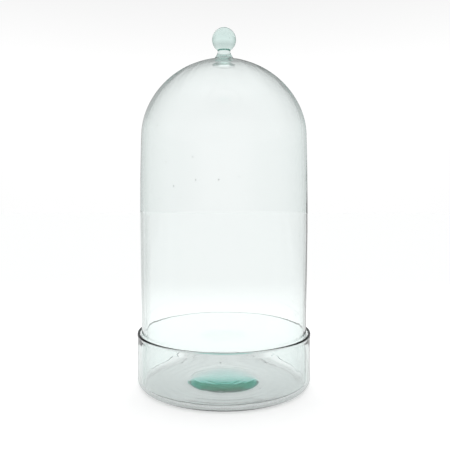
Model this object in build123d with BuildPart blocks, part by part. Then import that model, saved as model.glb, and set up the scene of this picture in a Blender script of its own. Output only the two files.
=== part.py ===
from build123d import *

import math
import os

# Hand-blown glass cloche: a tall bell with a ball knob, standing inside a shallow glass dish.
# Millimetres, +Z up. The origin is the centre of the dish's resting face.

# --- dish -----------------------------------------------------------------------------------
dish_radius = 103.7
dish_height = 63.0
dish_wall = 3.8
floor_edge_thickness = 2.8
floor_centre_thickness = 4.6
outer_corner_radius = 9.5
inner_corner_radius = 7.0
lip_flare = 0.5
lip_height = 8.0
rest_ring_inner_radius = 62.0
recess_flat_radius = 50.0
recess_depth = 1.0

# --- pontil boss: the thick wad of green glass left in the middle of the dish's floor ----------
boss_radius = 46.0
boss_offset = 6.0
boss_top = 8.4
boss_edge_top = 4.7
boss_plateau_radius = 27.0

# --- bell: its foot stands high in the dish's rounded corner, just clear of it -----------------
bell_wall = 3.2
foot_height = 6.5
foot_radius = 99.0
waist_radius = 98.95
waist_height = 80.0
widest_radius = 100.9
widest_height = 206.5
upper_side_radius = 3545.0
upper_side_angle = 1.47
shoulder_radius = 84.6
shoulder_angle = 25.2
foot_edge_radius = 1.1

# --- knob: a ball on a short neck, with a flared foot fused to the crown -----------------------
knob_ball_radius = 14.8
knob_ball_height = 415.0
knob_join_angle = -52.0
knob_neck_radius = 8.2
knob_neck_height = 399.0
knob_foot_radius = 15.5
knob_foot_edge = 0.8


def on_circle(centre, radius, angle):
    """The point of a circle at an angle, in degrees, above the horizontal."""
    return Vector(
        centre.X + radius * math.cos(math.radians(angle)),
        centre.Y + radius * math.sin(math.radians(angle)),
    )


def arc(centre, radius, start_angle, end):
    """Arc about a centre from an angle, in degrees, to a point on the same circle."""
    end_angle = math.degrees(math.atan2(end.Y - centre.Y, end.X - centre.X))
    middle = on_circle(centre, radius, (start_angle + end_angle) / 2)
    ThreePointArc(on_circle(centre, radius, start_angle), middle, end)


# The upper side, shoulder and crown are arcs that meet tangentially: each centre lies on the
# line through the join and the centre before it. The crown is part of a sphere, so its centre
# is on the axis, and its radius follows.
side_centre = Vector(widest_radius - upper_side_radius, widest_height)
shoulder_centre = on_circle(side_centre, upper_side_radius - shoulder_radius, upper_side_angle)
crown_step = shoulder_centre.X / math.cos(math.radians(shoulder_angle))
crown_radius = shoulder_radius + crown_step
crown_centre = Vector(0, on_circle(shoulder_centre, -crown_step, shoulder_angle).Y)


def crown_height(radius_from_axis):
    """Height of the crown's outer face at a distance from the axis."""
    return crown_centre.Y + math.sqrt(crown_radius**2 - radius_from_axis**2)


def bell_outline(inset):
    """Half outline of the bell, moved inwards by inset: side, shoulder, crown, axis and foot."""
    shoulder_join = on_circle(side_centre, upper_side_radius - inset, upper_side_angle)
    crown_join = on_circle(shoulder_centre, shoulder_radius - inset, shoulder_angle)
    tip = Vector(0, crown_centre.Y + crown_radius - inset)
    Spline(
        (foot_radius - inset, foot_height),
        (waist_radius - inset, waist_height),
        (widest_radius - inset, widest_height),
        tangents=[(0, 1), (0, 1)],
    )
    arc(side_centre, upper_side_radius - inset, 0, shoulder_join)
    arc(shoulder_centre, shoulder_radius - inset, upper_side_angle, crown_join)
    arc(crown_centre, crown_radius - inset, shoulder_angle, tip)
    Polyline(tip, (0, foot_height), (foot_radius - inset, foot_height))


# The dish: a thin floor that thickens a little towards the middle, rounded corners, a straight
# wall and a fire-polished lip. The floor's upper face is part of a very large sphere.
inner_radius = dish_radius - dish_wall
wall_top = dish_height - lip_height
lip_base = dish_height - dish_wall / 2
floor_rise = floor_centre_thickness - floor_edge_thickness
floor_sphere_radius = (inner_radius**2 + floor_rise**2) / (2 * floor_rise)
floor_centre = Vector(0, floor_centre_thickness - floor_sphere_radius)
corner_reach = floor_sphere_radius + inner_corner_radius
corner_end = Vector(
    inner_radius,
    floor_centre.Y + math.sqrt(corner_reach**2 - (inner_radius - inner_corner_radius) ** 2),
)
corner_centre = corner_end - Vector(inner_corner_radius, 0)
corner_start = floor_centre + (corner_centre - floor_centre) * (floor_sphere_radius / corner_reach)
corner_start_angle = -90 - math.degrees(math.atan2(corner_start.X, corner_start.Y - floor_centre.Y))
with BuildPart() as dish:
    with BuildSketch(Plane.XZ):
        with BuildLine():
            arc(floor_centre, floor_sphere_radius, 90, corner_start)
            arc(corner_centre, inner_corner_radius, corner_start_angle, corner_end)
            Line(corner_end, (inner_radius, wall_top))
            Spline(
                (inner_radius, wall_top),
                (inner_radius + lip_flare, lip_base),
                tangents=[(0, 1), (0, 1)],
            )
            ThreePointArc(
                (inner_radius + lip_flare, lip_base),
                (dish_radius + lip_flare - dish_wall / 2, dish_height),
                (dish_radius + lip_flare, lip_base),
            )
            Spline(
                (dish_radius + lip_flare, lip_base),
                (dish_radius, wall_top),
                tangents=[(0, -1), (0, -1)],
            )
            Polyline(
                (dish_radius, wall_top),
                (dish_radius, 0),
                (rest_ring_inner_radius, 0),
                (recess_flat_radius, recess_depth),
                (0, recess_depth),
                (0, floor_centre_thickness),
            )
        make_face()
    revolve(axis=Axis.Z)
    rings = dish.edges().filter_by(GeomType.CIRCLE)
    fillet(rings.group_by(Axis.Z)[0].sort_by(SortBy.RADIUS)[-1], radius=outer_corner_radius)
    with BuildSketch(Plane.XY):
        with Locations((0, -boss_offset)):
            Circle(boss_radius)
    extrude(amount=boss_top, mode=Mode.SUBTRACT)

# The boss: a wad that takes up the middle of the floor, a little off the centre. Its flat top
# slopes down all round to a blunt edge, which meets the dish's glass all the way round.
with BuildPart() as pontil_boss:
    with BuildSketch(Plane.XZ.offset(boss_offset)):
        with BuildLine():
            Polyline(
                (boss_plateau_radius, boss_top),
                (0, boss_top),
                (0, recess_depth),
                (boss_radius, recess_depth),
                (boss_radius, boss_edge_top),
            )
            Spline(
                (boss_radius, boss_edge_top),
                (boss_plateau_radius, boss_top),
                tangents=[(-1, 0), (-1, 0)],
            )
        make_face()
    revolve(axis=Axis((0, -boss_offset, 0), (0, 0, 1)))

# The bell: outer body of revolution, then its hollow, then the fire-polished foot edge.
with BuildPart() as bell:
    with BuildSketch(Plane.XZ):
        with BuildLine():
            bell_outline(0)
        make_face()
    revolve(axis=Axis.Z)
    with BuildSketch(Plane.XZ):
        with BuildLine():
            bell_outline(bell_wall)
        make_face()
    revolve(axis=Axis.Z, mode=Mode.SUBTRACT)
    fillet(bell.edges().filter_by(GeomType.CIRCLE).group_by(Axis.Z)[0], radius=foot_edge_radius)

# The knob: a foot that follows the crown's face, a neck and a ball, in one outline.
foot_rim = crown_height(knob_foot_radius)
knob_top = knob_ball_height + knob_ball_radius
ball_centre = Vector(0, knob_ball_height)
with BuildPart() as knob:
    with BuildSketch(Plane.XZ):
        with BuildLine():
            ThreePointArc(
                (0, crown_height(0)),
                (knob_foot_radius / 2, crown_height(knob_foot_radius / 2)),
                (knob_foot_radius, foot_rim),
            )
            Line((knob_foot_radius, foot_rim), (knob_foot_radius, foot_rim + knob_foot_edge))
            Spline(
                (knob_foot_radius, foot_rim + knob_foot_edge),
                (knob_neck_radius, knob_neck_height),
                on_circle(ball_centre, knob_ball_radius, knob_join_angle),
                tangents=[
                    (-1, 0.3),
                    on_circle(Vector(0, 0), 1, knob_join_angle + 90),
                ],
            )
            arc(ball_centre, knob_ball_radius, knob_join_angle, Vector(0, knob_top))
            Line((0, knob_top), (0, crown_height(0)))
        make_face()
    revolve(axis=Axis.Z)

os.makedirs("parts", exist_ok=True)
for built, name in (
    (dish, "dish"),
    (pontil_boss, "pontil_boss"),
    (bell, "bell"),
    (knob, "knob"),
):
    built.part.label = name
    export_step(built.part, f"parts/{name}.step")
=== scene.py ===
import math
import random

import bmesh
import bpy
from mathutils import Matrix, Vector, noise


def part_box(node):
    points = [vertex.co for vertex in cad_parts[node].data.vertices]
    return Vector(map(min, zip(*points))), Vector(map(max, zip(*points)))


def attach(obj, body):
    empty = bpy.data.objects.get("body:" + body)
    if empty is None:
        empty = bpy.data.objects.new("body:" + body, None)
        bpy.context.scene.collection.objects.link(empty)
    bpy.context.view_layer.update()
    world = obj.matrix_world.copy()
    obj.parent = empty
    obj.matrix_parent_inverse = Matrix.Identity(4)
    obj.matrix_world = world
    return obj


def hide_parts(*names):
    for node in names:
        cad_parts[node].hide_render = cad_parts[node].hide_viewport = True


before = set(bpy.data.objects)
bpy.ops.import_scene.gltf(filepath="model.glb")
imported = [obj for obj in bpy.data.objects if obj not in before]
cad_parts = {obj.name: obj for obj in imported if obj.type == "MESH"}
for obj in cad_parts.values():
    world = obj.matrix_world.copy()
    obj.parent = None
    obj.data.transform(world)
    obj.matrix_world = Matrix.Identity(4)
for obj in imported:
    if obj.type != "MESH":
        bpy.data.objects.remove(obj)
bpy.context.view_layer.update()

# A hand-blown glass cloche in metres. The boxes of the CAD nodes give the outer sizes, and the
# values below are the shapes between them. Most are the CAD part's own. The edges of the bell's
# and the knob's foot, the recess's radius and the seam under the boss are chosen for their looks.
MM = 0.001
TURN = 2 * math.pi
ON_AXIS = 1e-7

dish_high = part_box("dish")[1]
bell_low, bell_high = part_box("bell")
knob_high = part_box("knob")[1]
boss_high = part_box("pontil_boss")[1]

# dish
LIP_RADIUS = dish_high[0]
LIP_FLARE = 0.5 * MM
DISH_RADIUS = LIP_RADIUS - LIP_FLARE
DISH_WALL = 3.8 * MM
DISH_TOP = dish_high[2]
LIP_HEIGHT = 8 * MM
OUTER_CORNER = 9.5 * MM
INNER_CORNER = 7 * MM
FLOOR_CENTRE = 4.6 * MM
FLOOR_EDGE = 2.8 * MM
REST_RING_INNER = 62 * MM
RECESS_RADIUS = 26 * MM
RECESS_HEIGHT = 1 * MM
DISH_STEPS = 256

# dish: how uneven its glass is. The ripple's length is that of one radian of its sine.
DISH_WANDER = 0.4 * MM
DISH_STREAKS = 0.07 * MM
DISH_FINE_STREAKS = 0.025 * MM
FLOOR_RIPPLE = 0.03 * MM
RIPPLE_LENGTH = 1.5 * MM
FLOOR_DRIFT = 0.08 * MM
LIP_THINNING = 0.4 * MM
LIP_WAVES = 0.6 * MM
SCAR_HEIGHT = 0.4 * MM

# pontil boss: the notch is at the front, and the swirl's length is that of one radian
BOSS_RADIUS = boss_high[0]
BOSS_OFFSET = boss_high[0] - boss_high[1]
BOSS_TOP = boss_high[2]
BOSS_PLATEAU = 27 * MM
SEAM_BASE = 3.8 * MM
BOSS_STEPS = 192
UNDERSIDE_POINTS = 28
TOP_POINTS = 90
NOTCH_ANGLE = math.radians(263)
NOTCH_WIDTH = 0.09
NOTCH_DEPTH = 2.2 * MM
SWIRL_HEIGHT = 0.1 * MM
SWIRL_LENGTH = 0.9 * MM
LUMP_DEPTH = 0.5 * MM

# bell
BELL_WALL = 3.2 * MM
FOOT_HEIGHT = bell_low[2]
WAIST_RADIUS = 98.95 * MM
WAIST_HEIGHT = 80 * MM
WIDEST_RADIUS = bell_high[0]
WIDEST_HEIGHT = 206.5 * MM
SIDE_RADIUS = 3.545
SIDE_ANGLE = math.radians(1.47)
SHOULDER_RADIUS = 84.6 * MM
SHOULDER_ANGLE = math.radians(25.2)
FOOT_EDGE = 0.6 * MM
BELL_STEPS = 256

# bell: how uneven its glass is
BELL_WANDER = 0.5 * MM
BELL_STREAKS = 0.1 * MM
BELL_FINE_STREAKS = 0.04 * MM
FOOT_ZONE = 30 * MM
FOOT_SLANT = 0.8 * MM
FOOT_RAGGEDNESS = 0.5 * MM
CHIP_ANGLE = math.radians(42)
CHIP_WIDTH = 0.045
CHIP_HEIGHT = 1.3 * MM

# knob
BALL_RADIUS = 14.8 * MM
BALL_HEIGHT = knob_high[2] - BALL_RADIUS
BALL_JOIN_ANGLE = math.radians(-52)
NECK_RADIUS = 8.2 * MM
NECK_HEIGHT = 399 * MM
KNOB_FOOT_RADIUS = knob_high[0]
KNOB_FOOT_EDGE = 0.6 * MM
KNOB_DENTS = 0.35 * MM
KNOB_STEPS = 128

# Seeds (air bubbles) that stand out: angle about the axis in degrees, height and diameter in
# millimetres. The knob's are given by X, Y, height and diameter.
BELL_SEEDS = (
    (-137, 300, 0.9),
    (-128, 259, 0.9),
    (-122, 233, 1.2),
    (-107, 239, 1.0),
    (-93, 239, 1.2),
    (-81, 242, 1.0),
)
DISH_SEEDS = ((-92, 52.5, 1.4), (-115, 49.7, 1.1), (-65, 49.9, 1.2), (-125, 40.5, 1.0))
KNOB_SEEDS = (
    (-2.4, -2.0, 423.4, 1.9),
    (-2.4, 1.0, 412.4, 1.6),
    (4.0, 2.0, 417.0, 0.9),
    (1.0, -3.0, 401.5, 0.7),
)

# Seeds at random places: how many, and the heights between which they lie, in millimetres.
BELL_SCATTER = (46, 30, 290)
DISH_SCATTER = (16, 16, 54)

# Fused pieces run this far into each other, so that light passes from glass to glass.
FUSED_DEPTH = 0.25 * MM

# An edge whose faces meet at more than this stays sharp.
SHARP_ANGLE = math.radians(55)

# glass: the share of red, green and blue lost, as a rate per metre of depth
BELL_TINT = (13, 6.5, 7.8)
DISH_TINT = (9, 4, 5)
BOSS_TINT = (250, 44, 66)

# floor: its glow, which is painted light: lower in front, as painted shade under the front of the
# dish, and higher just behind it, as a painted pool of light; and the shares of it that are left
# far behind, where the painted pool fades, and where it is seen by way of a reflection, as painted
# shade in reflections
FLOOR_REACH = 20
FLOOR_DROP = 0.15 * MM
FLOOR_GREY = 0.61
FRONT_GLOW_PAINTED_SHADE = 0.49
BEHIND_GLOW_PAINTED_LIGHT_POOL = 0.67
FAR_GLOW_PAINTED_POOL_FADE = 0.54
MIRRORED_GLOW_PAINTED_SHADE = 0.74

# world: light by height above the horizon, the tint of the sides, the share that a ray gets
# straight from a reflection, and the share lost, low and high up, after any reflection
STUDIO_LIGHT = ((0.0, 1.0), (0.25, 1.03), (0.5, 0.8), (0.75, 0.9), (0.9, 1.6))
SIDE_TINT = (0.72, 0.77, 0.755, 1)
MIRRORED_SHARE = 0.4
LOST_LOW = 0.08
LOST_HIGH = 0.32

# camera
CAMERA_SIDEWAYS = 1.2 * MM
CAMERA_DISTANCE = 622 * MM
CAMERA_HEIGHT = 210 * MM
CAMERA_LENS = 40.8
CAMERA_SHIFT = -17 / 450
GLASS_BOUNCES = 32
MIRROR_BOUNCES = 12


# ---------------------------------------------------------------------------------- curves


def on_circle(centre, radius, angle):
    """The point of a circle in the (radius, height) plane at an angle above the horizontal."""
    return (centre[0] + radius * math.cos(angle), centre[1] + radius * math.sin(angle))


def straight(start, end, count):
    """Points along a line, without its last point."""
    return [
        (start[0] + (end[0] - start[0]) * i / count, start[1] + (end[1] - start[1]) * i / count)
        for i in range(count)
    ]


def arc(centre, radius, start, end, count):
    """Points along an arc, without its last point."""
    return [on_circle(centre, radius, start + (end - start) * i / count) for i in range(count)]


def bend(start, start_pull, end, end_pull, count):
    """Points along a cubic that leaves and arrives along the two pulls, without its last point."""
    points = []
    for i in range(count):
        t = i / count
        weights = (2 * t**3 - 3 * t**2 + 1, t**3 - 2 * t**2 + t, 3 * t**2 - 2 * t**3, t**3 - t**2)
        parts = (start, start_pull, end, end_pull)
        points.append(tuple(sum(w * p[k] for w, p in zip(weights, parts)) for k in (0, 1)))
    return points


def smooth(value, start=0.0, end=1.0):
    """Smooth step: 0 at start, 1 at end, and level at both."""
    t = min(1.0, max(0.0, (value - start) / (end - start)))
    return t * t * (3 - 2 * t)


def wave(angle, height, around, up, seed):
    """Smooth noise on a cylinder, about -1 to 1. around: waves per radian; up: waves per metre;
    seed: tells one pattern from another."""
    spot = (around * math.cos(angle), around * math.sin(angle) + seed, up * height)
    return 1.5 * noise.noise(spot)


def peak(angle, middle, width):
    """1 at the middle angle, falling off to both sides over the width, in radians."""
    return math.exp(-(((angle - middle) / width) ** 2))


def inward(value):
    """Turns noise into a share from -1 to 0, so that a face never grows past its CAD size."""
    return -min(1.0, max(0.0, 0.5 + 0.5 * value))


# ---------------------------------------------------------------------------------- meshes


def lathe(outline, steps, shape):
    """A closed surface of revolution, whose outline runs from axis to axis.
    shape(point, angle, place) moves each point; place runs from 0 to 1 along the outline."""
    mesh = bmesh.new()
    rings = []
    for i, (radius, height) in enumerate(outline):
        place = i / (len(outline) - 1)
        count = 1 if radius < ON_AXIS else steps
        ring = []
        for k in range(count):
            angle = TURN * k / steps
            point = Vector((radius * math.cos(angle), radius * math.sin(angle), height))
            ring.append(mesh.verts.new(shape(point, angle, place)))
        rings.append(ring)
    for low, high in zip(rings, rings[1:]):
        for k in range(steps):
            after = (k + 1) % steps
            if len(low) == 1:
                corners = (low[0], high[after], high[k])
            elif len(high) == 1:
                corners = (low[k], low[after], high[0])
            else:
                corners = (low[k], low[after], high[after], high[k])
            mesh.faces.new(corners)
    bmesh.ops.recalc_face_normals(mesh, faces=mesh.faces)
    if mesh.calc_volume(signed=True) < 0:
        bmesh.ops.reverse_faces(mesh, faces=mesh.faces[:])
    return mesh


def add_seed(mesh, centre, size, stretch):
    """An air bubble inside the glass: a small upright ball whose faces look inwards."""
    place = Matrix.Translation(centre) @ Matrix.Diagonal((1, 1, stretch, 1))
    made = bmesh.ops.create_icosphere(mesh, subdivisions=2, radius=size / 2, matrix=place)
    faces = {face for vert in made["verts"] for face in vert.link_faces}
    bmesh.ops.reverse_faces(mesh, faces=list(faces))


def scatter(chance, count, low, high):
    """Random seeds between two heights, as angle, height and diameter."""
    return [
        (chance.uniform(0, 360), chance.uniform(low, high), chance.uniform(0.4, 1.0))
        for _ in range(count)
    ]


def add_seeds(mesh, seeds, middle, chance, flattest, tallest):
    """Adds seeds in the middle of a wall. middle(height) is the radius there."""
    for angle, height, size in seeds:
        turn = math.radians(angle)
        radius = middle(height * MM)
        centre = (radius * math.cos(turn), radius * math.sin(turn), height * MM)
        add_seed(mesh, centre, size * MM, chance.uniform(flattest, tallest))


def finish_mesh(name, mesh):
    """Smooth shading between sharp edges, and a new object in the scene."""
    for face in mesh.faces:
        face.smooth = True
    for edge in mesh.edges:
        edge.smooth = edge.calc_face_angle(0) < SHARP_ANGLE
    data = bpy.data.meshes.new(name)
    mesh.to_mesh(data)
    mesh.free()
    piece = bpy.data.objects.new(name, data)
    bpy.context.scene.collection.objects.link(piece)
    return piece


# ---------------------------------------------------------------------------------- bell

side_centre = (WIDEST_RADIUS - SIDE_RADIUS, WIDEST_HEIGHT)
shoulder_centre = on_circle(side_centre, SIDE_RADIUS - SHOULDER_RADIUS, SIDE_ANGLE)
crown_step = shoulder_centre[0] / math.cos(SHOULDER_ANGLE)
crown_centre = (0, on_circle(shoulder_centre, -crown_step, SHOULDER_ANGLE)[1])
CROWN_RADIUS = SHOULDER_RADIUS + crown_step


def side_radius(height):
    """Radius of the bell's side from its foot to the widest height: a slight waist, then wider."""
    rise = smooth(height, WAIST_HEIGHT * 0.6, WIDEST_HEIGHT)
    return WAIST_RADIUS + (WIDEST_RADIUS - WAIST_RADIUS) * rise


def bell_side(inset):
    """One face of the bell, moved inwards by inset, from above the foot's edge to the axis."""
    start = FOOT_HEIGHT + FOOT_EDGE
    lower_points = 56
    points = []
    for i in range(lower_points):
        height = start + (WIDEST_HEIGHT - start) * i / lower_points
        points.append((side_radius(height) - inset, height))
    points += arc(side_centre, SIDE_RADIUS - inset, 0, SIDE_ANGLE, 26)
    points += arc(shoulder_centre, SHOULDER_RADIUS - inset, SIDE_ANGLE, SHOULDER_ANGLE, 14)
    points += arc(crown_centre, CROWN_RADIUS - inset, SHOULDER_ANGLE, math.pi / 2, 36)
    return points + [(0, crown_centre[1] + CROWN_RADIUS - inset)]


def bell_outline():
    """The whole wall: inner face down from the axis, foot edge, outer face up to the axis."""
    edge_height = FOOT_HEIGHT + FOOT_EDGE
    inner_edge = (WAIST_RADIUS - BELL_WALL + FOOT_EDGE, edge_height)
    outer_edge = (WAIST_RADIUS - FOOT_EDGE, edge_height)
    foot = arc(inner_edge, FOOT_EDGE, math.pi, 1.5 * math.pi, 6)
    foot += straight((inner_edge[0], FOOT_HEIGHT), (outer_edge[0], FOOT_HEIGHT), 2)
    foot += arc(outer_edge, FOOT_EDGE, -math.pi / 2, 0, 6)
    return bell_side(BELL_WALL)[:0:-1] + foot + bell_side(0)


def shape_bell(point, angle, place):
    """Uneven blown wall: it wanders as a whole, its inner face has streaks, and the foot, which is
    halfway along the outline, is cut at a slant and raggedly."""
    height = point.z
    reach = math.hypot(point.x, point.y)
    outwards = Vector((point.x, point.y, max(0.0, height - crown_centre[1]))).normalized()
    wander = BELL_WANDER * inward(wave(angle, height, 0.8, 9, 11))
    inner = 1 - smooth(place, 0.47, 0.53)
    streaks = BELL_STREAKS * wave(angle, height, 5, 5, 23)
    streaks += BELL_FINE_STREAKS * wave(angle, height, 16, 9, 37)
    free_of_knob = smooth(reach, 18 * MM, 45 * MM)
    point += outwards * (wander + inner * streaks) * free_of_knob
    near_foot = 1 - smooth(height, FOOT_HEIGHT, FOOT_HEIGHT + FOOT_ZONE)
    slant = FOOT_SLANT * (1 + math.cos(angle))
    ragged = FOOT_RAGGEDNESS * max(0.0, wave(angle, 0, 9, 1, 5))
    chip = CHIP_HEIGHT * peak(angle, CHIP_ANGLE, CHIP_WIDTH)
    point.z += near_foot * (slant + ragged + chip)
    return point


def bell_middle(height):
    """Radius of the middle of the bell's wall, from the foot to the shoulder."""
    radius = side_radius(height) - BELL_WALL / 2
    if height > WIDEST_HEIGHT:
        radius -= (height - WIDEST_HEIGHT) ** 2 / (2 * SIDE_RADIUS)
    if height > shoulder_centre[1]:
        lift = height - shoulder_centre[1]
        radius -= SHOULDER_RADIUS - math.sqrt(SHOULDER_RADIUS**2 - lift**2)
    return radius


def make_bell():
    mesh = lathe(bell_outline(), BELL_STEPS, shape_bell)
    chance = random.Random(4)
    seeds = [*BELL_SEEDS, *scatter(chance, *BELL_SCATTER)]
    add_seeds(mesh, seeds, bell_middle, chance, 1.0, 1.5)
    return finish_mesh("bell_glass", mesh)


# ---------------------------------------------------------------------------------- dish

floor_rise = FLOOR_CENTRE - FLOOR_EDGE
inner_radius = DISH_RADIUS - DISH_WALL
FLOOR_SPHERE = (inner_radius**2 + floor_rise**2) / (2 * floor_rise)


def floor_height(radius):
    """Height of the floor's upper face: a little higher towards the middle."""
    return FLOOR_CENTRE - FLOOR_SPHERE + math.sqrt(FLOOR_SPHERE**2 - radius**2)


def seam_height(radius):
    """Height of the shallow bowl where the boss's glass is fused into the floor."""
    share = min(1.0, radius / BOSS_RADIUS) ** 2
    return SEAM_BASE + (floor_height(BOSS_RADIUS) - SEAM_BASE) * share


def dish_outline():
    """From axis to axis: the bowl under the boss, floor, corner, inner wall, lip, outer wall, rest
    ring and recess."""
    seam_points = 24
    floor_points = 44
    slope_points = 22
    lip_half = DISH_WALL / 2
    wall_top = DISH_TOP - LIP_HEIGHT
    lip_base = DISH_TOP - lip_half
    pull = (0, LIP_HEIGHT - lip_half)
    back = (0, lip_half - LIP_HEIGHT)
    corner_reach = FLOOR_SPHERE + INNER_CORNER
    corner_radius = inner_radius - INNER_CORNER
    corner_lift = math.sqrt(corner_reach**2 - corner_radius**2)
    corner = (corner_radius, FLOOR_CENTRE - FLOOR_SPHERE + corner_lift)
    floor_end = corner_radius * FLOOR_SPHERE / corner_reach
    lip_centre = (LIP_RADIUS - lip_half, lip_base)
    outer_corner = (DISH_RADIUS - OUTER_CORNER, OUTER_CORNER)
    points = []
    for i in range(seam_points):
        radius = BOSS_RADIUS * i / seam_points
        points.append((radius, seam_height(radius)))
    for i in range(floor_points):
        radius = BOSS_RADIUS + (floor_end - BOSS_RADIUS) * i / floor_points
        points.append((radius, floor_height(radius)))
    points += arc(corner, INNER_CORNER, -math.pi + math.atan2(corner_lift, corner_radius), 0, 12)
    points += straight((inner_radius, corner[1]), (inner_radius, wall_top), 20)
    points += bend((inner_radius, wall_top), pull, (inner_radius + LIP_FLARE, lip_base), pull, 8)
    points += arc(lip_centre, lip_half, math.pi, 0, 12)
    points += bend((LIP_RADIUS, lip_base), back, (DISH_RADIUS, wall_top), back, 8)
    points += straight((DISH_RADIUS, wall_top), (DISH_RADIUS, OUTER_CORNER), 20)
    points += arc(outer_corner, OUTER_CORNER, 0, -math.pi / 2, 14)
    points += straight((outer_corner[0], 0), (REST_RING_INNER, 0), 10)
    for i in range(slope_points):
        radius = REST_RING_INNER + (RECESS_RADIUS - REST_RING_INNER) * i / slope_points
        points.append((radius, RECESS_HEIGHT * smooth(i / slope_points)))
    points += straight((RECESS_RADIUS, RECESS_HEIGHT), (0, RECESS_HEIGHT), 10)
    return points + [(0, RECESS_HEIGHT)]


def boss_shift(point, angle):
    """Moves the round middle of the floor to the boss's place: off-centre and not quite round."""
    share = 1 - smooth(math.hypot(point.x, point.y), BOSS_RADIUS, 78 * MM)
    grow = 0.945 + 0.02 * wave(angle, 0, 1.3, 1, 51) + 0.055 * math.sin(angle) ** 2
    centre = Vector((0, -BOSS_OFFSET, 0))
    target = Vector((point.x * grow, point.y * grow, point.z)) + centre
    return point.lerp(target, share)


def shape_dish(point, angle, place):
    """Uneven wall and lip, a lip thinned on its inner side, a rippled floor, the pontil's scar
    underneath, and the middle shifted to meet the boss."""
    height = point.z
    radius = math.hypot(point.x, point.y)
    point = boss_shift(point, angle)

    outwards = Vector((math.cos(angle), math.sin(angle), 0))
    on_wall = smooth(height, 6 * MM, 20 * MM)
    on_inner_face = on_wall if radius < DISH_RADIUS - DISH_WALL / 2 else 0
    wander = DISH_WANDER * inward(wave(angle, height, 0.9, 12, 71))
    streaks = DISH_STREAKS * wave(angle, height, 4, 12, 83)
    streaks += DISH_FINE_STREAKS * wave(angle, height, 14, 16, 97)
    thinner = LIP_THINNING * smooth(height, 50 * MM, 62 * MM) * (LIP_RADIUS - radius) / DISH_WALL
    point += outwards * (wander * on_wall + on_inner_face * streaks + thinner)

    on_floor = 1 if place < 0.35 and height < 6 * MM else 0
    past_boss = smooth(radius, BOSS_RADIUS, BOSS_RADIUS + 8 * MM)
    before_corner = 1 - smooth(radius, 82 * MM, 92 * MM)
    ripple = FLOOR_RIPPLE * math.sin(radius / RIPPLE_LENGTH + 2 * wave(angle, radius, 1, 20, 13))
    drift = FLOOR_DRIFT * wave(angle, radius, 1.5, 25, 29)
    point.z += on_floor * (past_boss * before_corner) * (ripple + drift)

    underneath = 1 if place > 0.9 else 0
    scar = SCAR_HEIGHT * (1 - smooth(radius, 8 * MM, 12 * MM))
    point.z += underneath * scar * (0.6 + 0.4 * wave(angle, radius, 2, 200, 47))

    near_lip = smooth(height, 45 * MM, DISH_TOP)
    point.z += near_lip * LIP_WAVES * inward(wave(angle, 0, 1.6, 1, 61))
    return point


def dish_middle(_height):
    """Radius of the middle of the dish's wall, the same at every height."""
    return DISH_RADIUS - DISH_WALL / 2


def make_dish():
    mesh = lathe(dish_outline(), DISH_STEPS, shape_dish)
    chance = random.Random(9)
    seeds = [*DISH_SEEDS, *scatter(chance, *DISH_SCATTER)]
    add_seeds(mesh, seeds, dish_middle, chance, 0.9, 1.2)
    return finish_mesh("dish_glass", mesh)


# ---------------------------------------------------------------------------------- boss


def boss_outline():
    """Underside out from the axis, a little inside the dish's glass but meeting its face at the
    rim, then the top back to the axis, flat as yet."""
    edge_top = floor_height(BOSS_RADIUS)
    points = []
    for i in range(UNDERSIDE_POINTS):
        share = i / UNDERSIDE_POINTS
        depth = FUSED_DEPTH * (1 - share**6)
        points.append((BOSS_RADIUS * share, seam_height(BOSS_RADIUS * share) - depth))
    points += straight((BOSS_RADIUS, edge_top), (0, edge_top), TOP_POINTS)
    return points + [(0, edge_top)]


def shape_boss(point, angle, place):
    """Raises the boss's top: steep at the front, long and low at the back, with layered swirls."""
    radius = math.hypot(point.x, point.y)
    front = 0.5 - 0.5 * math.sin(angle)
    on_top = 1 if place > (UNDERSIDE_POINTS + 0.5) / (UNDERSIDE_POINTS + TOP_POINTS) else 0

    plateau = BOSS_PLATEAU * (0.25 + 0.75 * smooth(front, 0.0, 0.75))
    plateau *= 1 + 0.5 * math.cos(angle) ** 2
    brim = BOSS_RADIUS - (0.6 + 1.2 * wave(angle, 0, 2.5, 1, 19)) * MM
    brim -= NOTCH_DEPTH * peak(angle, NOTCH_ANGLE, NOTCH_WIDTH)
    rise = (BOSS_TOP - point.z) * (1 - smooth(radius, plateau, brim))
    rise *= 1 - 0.75 * smooth(radius * math.sin(angle), -22 * MM, 18 * MM)

    on_side = smooth(radius, 22 * MM, 30 * MM)
    on_side *= 1 - smooth(radius, BOSS_RADIUS - 3 * MM, BOSS_RADIUS)
    twist = 1.2 * math.sin(angle) + 1.6 * wave(angle, radius, 1.4, 30, 41)
    swirl = SWIRL_HEIGHT * (math.sin(radius / SWIRL_LENGTH + 2 * twist) - 1)
    lump = LUMP_DEPTH * inward(wave(angle, radius, 2.2, 45, 43))
    point = boss_shift(point, angle)
    point.z += on_top * (rise + front * on_side * (swirl + lump))
    return point


def make_boss():
    return finish_mesh("pontil_wad", lathe(boss_outline(), BOSS_STEPS, shape_boss))


# ---------------------------------------------------------------------------------- knob


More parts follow.
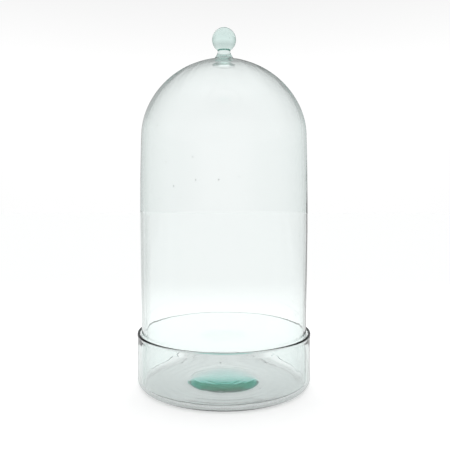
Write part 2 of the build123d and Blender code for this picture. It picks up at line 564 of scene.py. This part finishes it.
def knob_outline():
    """The knob: underside just inside the crown, flared foot, neck, ball."""
    under = CROWN_RADIUS - FUSED_DEPTH
    foot_angle = math.acos(KNOB_FOOT_RADIUS / CROWN_RADIUS)
    rim = on_circle(crown_centre, CROWN_RADIUS, foot_angle)
    ball = (0, BALL_HEIGHT)
    join = on_circle(ball, BALL_RADIUS, BALL_JOIN_ANGLE)
    neck = (NECK_RADIUS, NECK_HEIGHT)
    up_the_neck = (-1 * MM, 5 * MM)
    points = arc(crown_centre, under, math.pi / 2, foot_angle, 8)
    points += [on_circle(crown_centre, under, foot_angle)]
    foot_top = (rim[0], rim[1] + KNOB_FOOT_EDGE)
    points += bend(foot_top, (-9 * MM, 2 * MM), neck, up_the_neck, 14)
    along_ball = (-math.sin(BALL_JOIN_ANGLE) * 6 * MM, math.cos(BALL_JOIN_ANGLE) * 6 * MM)
    points += bend(neck, up_the_neck, join, along_ball, 10)
    points += arc(ball, BALL_RADIUS, BALL_JOIN_ANGLE, math.pi / 2, 26)
    return points + [(0, knob_high[2])]


def shape_knob(point, angle, place):
    """A ball shaped by hand: a little flat here and there, with its neck not quite round. The
    underside and the foot's edge stay as they are."""
    above_foot = smooth(place, 0.15, 0.3)
    radius = math.hypot(point.x, point.y)
    dent = KNOB_DENTS * inward(wave(angle, point.z, 1.2, 45, 17)) * above_foot
    if radius > ON_AXIS:
        point.x *= 1 + dent / radius * smooth(radius, 0, 8 * MM)
        point.y *= 1 + dent / radius * smooth(radius, 0, 8 * MM)
    return point


def make_knob():
    mesh = lathe(knob_outline(), KNOB_STEPS, shape_knob)
    for x, y, height, size in KNOB_SEEDS:
        add_seed(mesh, (x * MM, y * MM, height * MM), size * MM, 1.1)
    return finish_mesh("knob_glass", mesh)


# ---------------------------------------------------------------------------------- materials


def glass(name, absorption, stretch, ripple):
    """Glass that is coloured by its depth, with a rippled and here and there slightly hazy
    surface. absorption: rates for red, green and blue per metre of depth.
    stretch: scale of the ripples along X, Y and Z; ripple: their height."""
    material = bpy.data.materials.new(name)
    material.use_nodes = True
    nodes, links = material.node_tree.nodes, material.node_tree.links
    shader = nodes["Principled BSDF"]
    shader.inputs["Base Color"].default_value = (1, 1, 1, 1)
    shader.inputs["Transmission Weight"].default_value = 1
    shader.inputs["IOR"].default_value = 1.5
    place = nodes.new("ShaderNodeTexCoord")
    mapping = nodes.new("ShaderNodeMapping")
    mapping.inputs["Scale"].default_value = stretch
    links.new(place.outputs["Object"], mapping.inputs["Vector"])
    waves = nodes.new("ShaderNodeTexNoise")
    waves.inputs["Scale"].default_value = 1
    waves.inputs["Detail"].default_value = 2
    waves.inputs["Distortion"].default_value = 0.6
    links.new(mapping.outputs["Vector"], waves.inputs["Vector"])
    bump = nodes.new("ShaderNodeBump")
    bump.inputs["Strength"].default_value = 0.35
    bump.inputs["Distance"].default_value = ripple
    links.new(waves.outputs["Fac"], bump.inputs["Height"])
    links.new(bump.outputs["Normal"], shader.inputs["Normal"])
    film = nodes.new("ShaderNodeTexNoise")
    film.inputs["Scale"].default_value = 38
    film.inputs["Detail"].default_value = 5
    links.new(place.outputs["Object"], film.inputs["Vector"])
    haze = nodes.new("ShaderNodeMapRange")
    haze.inputs["From Min"].default_value = 0.52
    haze.inputs["From Max"].default_value = 0.8
    haze.inputs["To Min"].default_value = 0.0
    haze.inputs["To Max"].default_value = 0.05
    links.new(film.outputs["Fac"], haze.inputs["Value"])
    links.new(haze.outputs["Result"], shader.inputs["Roughness"])
    absorb = nodes.new("ShaderNodeVolumeAbsorption")
    density = 1.02 * max(absorption)
    absorb.inputs["Color"].default_value = (*[1 - rate / density for rate in absorption], 1)
    absorb.inputs["Density"].default_value = density
    links.new(absorb.outputs["Volume"], nodes["Material Output"].inputs["Volume"])
    return material


def dress(piece, material, body, node):
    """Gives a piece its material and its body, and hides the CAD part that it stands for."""
    piece.data.materials.append(material)
    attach(piece, body)
    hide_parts(node)


# ---------------------------------------------------------------------------------- stage


def node_math(tree, operation, first, second):
    """A Math node fed by two sockets, and its result."""
    node = tree.nodes.new("ShaderNodeMath")
    node.operation = operation
    tree.links.new(first, node.inputs[0])
    tree.links.new(second, node.inputs[1])
    return node.outputs[0]


def node_range(tree, value, start, end, low, high):
    """A smooth Map Range node fed by a socket, and its result."""
    node = tree.nodes.new("ShaderNodeMapRange")
    node.interpolation_type = "SMOOTHSTEP"
    tree.links.new(value, node.inputs["Value"])
    sockets = ("From Min", "From Max", "To Min", "To Max")
    for socket, number in zip(sockets, (start, end, low, high)):
        node.inputs[socket].default_value = number
    return node.outputs[0]


def make_floor():
    """A wide pale table, just below the dish, so that the glass shares no face with it. It glows a
    little, which is painted light: lower in front, as painted shade under the front of the dish,
    and higher under its back and just behind it, as a painted pool of light that fades far behind.
    The glow is also lower where it is seen in a reflection, as painted shade in the reflections."""
    mesh = bmesh.new()
    bmesh.ops.create_grid(mesh, x_segments=1, y_segments=1, size=FLOOR_REACH)
    floor = finish_mesh("floor", mesh)
    floor.location.z = -FLOOR_DROP
    material = bpy.data.materials.new("pale_floor_painted_glow")
    material.use_nodes = True
    tree = material.node_tree
    shader = tree.nodes["Principled BSDF"]
    shader.inputs["Base Color"].default_value = (FLOOR_GREY, FLOOR_GREY, FLOOR_GREY, 1)
    shader.inputs["Roughness"].default_value = 0.9
    shader.inputs["Specular IOR Level"].default_value = 0.1
    shader.inputs["Emission Color"].default_value = (1, 1, 1, 1)
    place = tree.nodes.new("ShaderNodeTexCoord")
    split = tree.nodes.new("ShaderNodeSeparateXYZ")
    tree.links.new(place.outputs["Object"], split.inputs[0])
    # painted shade under the front of the dish and a painted pool of light under its back and
    # behind it, made with floor glow; the pool fades far behind
    painted_shade_and_pool = node_range(tree, split.outputs["Y"], -0.09, 0.06, FRONT_GLOW_PAINTED_SHADE, BEHIND_GLOW_PAINTED_LIGHT_POOL)
    painted_pool_fade = node_range(tree, split.outputs["Y"], 0.06, 0.9, 1, FAR_GLOW_PAINTED_POOL_FADE)
    glow = node_math(tree, "MULTIPLY", painted_shade_and_pool, painted_pool_fade)
    path = tree.nodes.new("ShaderNodeLightPath")
    # the floor glows less where it is seen in a reflection: painted shade in the reflections
    mirrored = node_range(tree, path.outputs["Glossy Depth"], 0, 1, 1, MIRRORED_GLOW_PAINTED_SHADE)
    glow = node_math(tree, "MULTIPLY", glow, mirrored)
    tree.links.new(glow, shader.inputs["Emission Strength"])
    floor.data.materials.append(material)


def make_world():
    """A soft white studio: bright round the horizon and overhead, dimmer in between and at the
    sides. It is dimmer again for light that glass has mirrored."""
    world = bpy.data.worlds.new("studio")
    bpy.context.scene.world = world
    world.use_nodes = True
    tree = world.node_tree
    place = tree.nodes.new("ShaderNodeTexCoord")
    split = tree.nodes.new("ShaderNodeSeparateXYZ")
    tree.links.new(place.outputs["Generated"], split.inputs[0])
    ramp = tree.nodes.new("ShaderNodeValToRGB")
    tree.links.new(split.outputs["Z"], ramp.inputs["Fac"])
    elements = ramp.color_ramp.elements
    for i, (position, light) in enumerate(STUDIO_LIGHT):
        stop = elements[i] if i < 2 else elements.new(position)
        stop.position = position
        stop.color = (light, light, light, 1)
    sideways = tree.nodes.new("ShaderNodeMath")
    sideways.operation = "ABSOLUTE"
    tree.links.new(split.outputs["X"], sideways.inputs[0])
    sides = tree.nodes.new("ShaderNodeMix")
    sides.data_type = "RGBA"
    sides.blend_type = "MULTIPLY"
    tree.links.new(node_range(tree, sideways.outputs[0], 0.35, 0.95, 0, 1), sides.inputs[0])
    tree.links.new(ramp.outputs["Color"], sides.inputs[6])
    sides.inputs[7].default_value = SIDE_TINT
    path = tree.nodes.new("ShaderNodeLightPath")
    mirrored = node_math(
        tree, "MULTIPLY", path.outputs["Is Reflection Ray"], path.outputs["Is Glossy Ray"]
    )
    room = node_range(tree, mirrored, 0, 1, 1, MIRRORED_SHARE)
    bounced = node_range(tree, path.outputs["Glossy Depth"], 0, 1, 0, 1)
    high = node_range(tree, split.outputs["Z"], 0.15, 0.35, LOST_LOW, LOST_HIGH)
    lost = node_math(tree, "MULTIPLY", room, node_math(tree, "MULTIPLY", bounced, high))
    room = node_math(tree, "SUBTRACT", room, lost)
    background = tree.nodes["Background"]
    tree.links.new(sides.outputs[2], background.inputs["Color"])
    tree.links.new(room, background.inputs["Strength"])


def make_camera():
    """Level camera in front of the cloche, at about half its height."""
    data = bpy.data.cameras.new("camera")
    data.sensor_width = 36
    data.lens = CAMERA_LENS
    data.shift_y = CAMERA_SHIFT
    camera = bpy.data.objects.new("camera", data)
    camera.location = (CAMERA_SIDEWAYS, -CAMERA_DISTANCE, CAMERA_HEIGHT)
    camera.rotation_euler = (math.pi / 2, 0, 0)
    bpy.context.scene.collection.objects.link(camera)
    bpy.context.scene.camera = camera


bell_glass = glass("bell_glass", BELL_TINT, (40, 40, 12), 0.25 * MM)
dish_glass = glass("dish_glass", DISH_TINT, (50, 50, 30), 0.25 * MM)
green_glass = glass("green_glass", BOSS_TINT, (90, 90, 60), 0.3 * MM)
dress(make_bell(), bell_glass, "bell_body", "bell")
dress(make_knob(), bell_glass, "bell_body", "knob")
dress(make_dish(), dish_glass, "dish_body", "dish")
dress(make_boss(), green_glass, "dish_body", "pontil_boss")

make_floor()
make_world()
make_camera()
scene = bpy.context.scene
scene.view_settings.view_transform = "Standard"
scene.cycles.max_bounces = GLASS_BOUNCES
scene.cycles.transmission_bounces = GLASS_BOUNCES
scene.cycles.glossy_bounces = MIRROR_BOUNCES
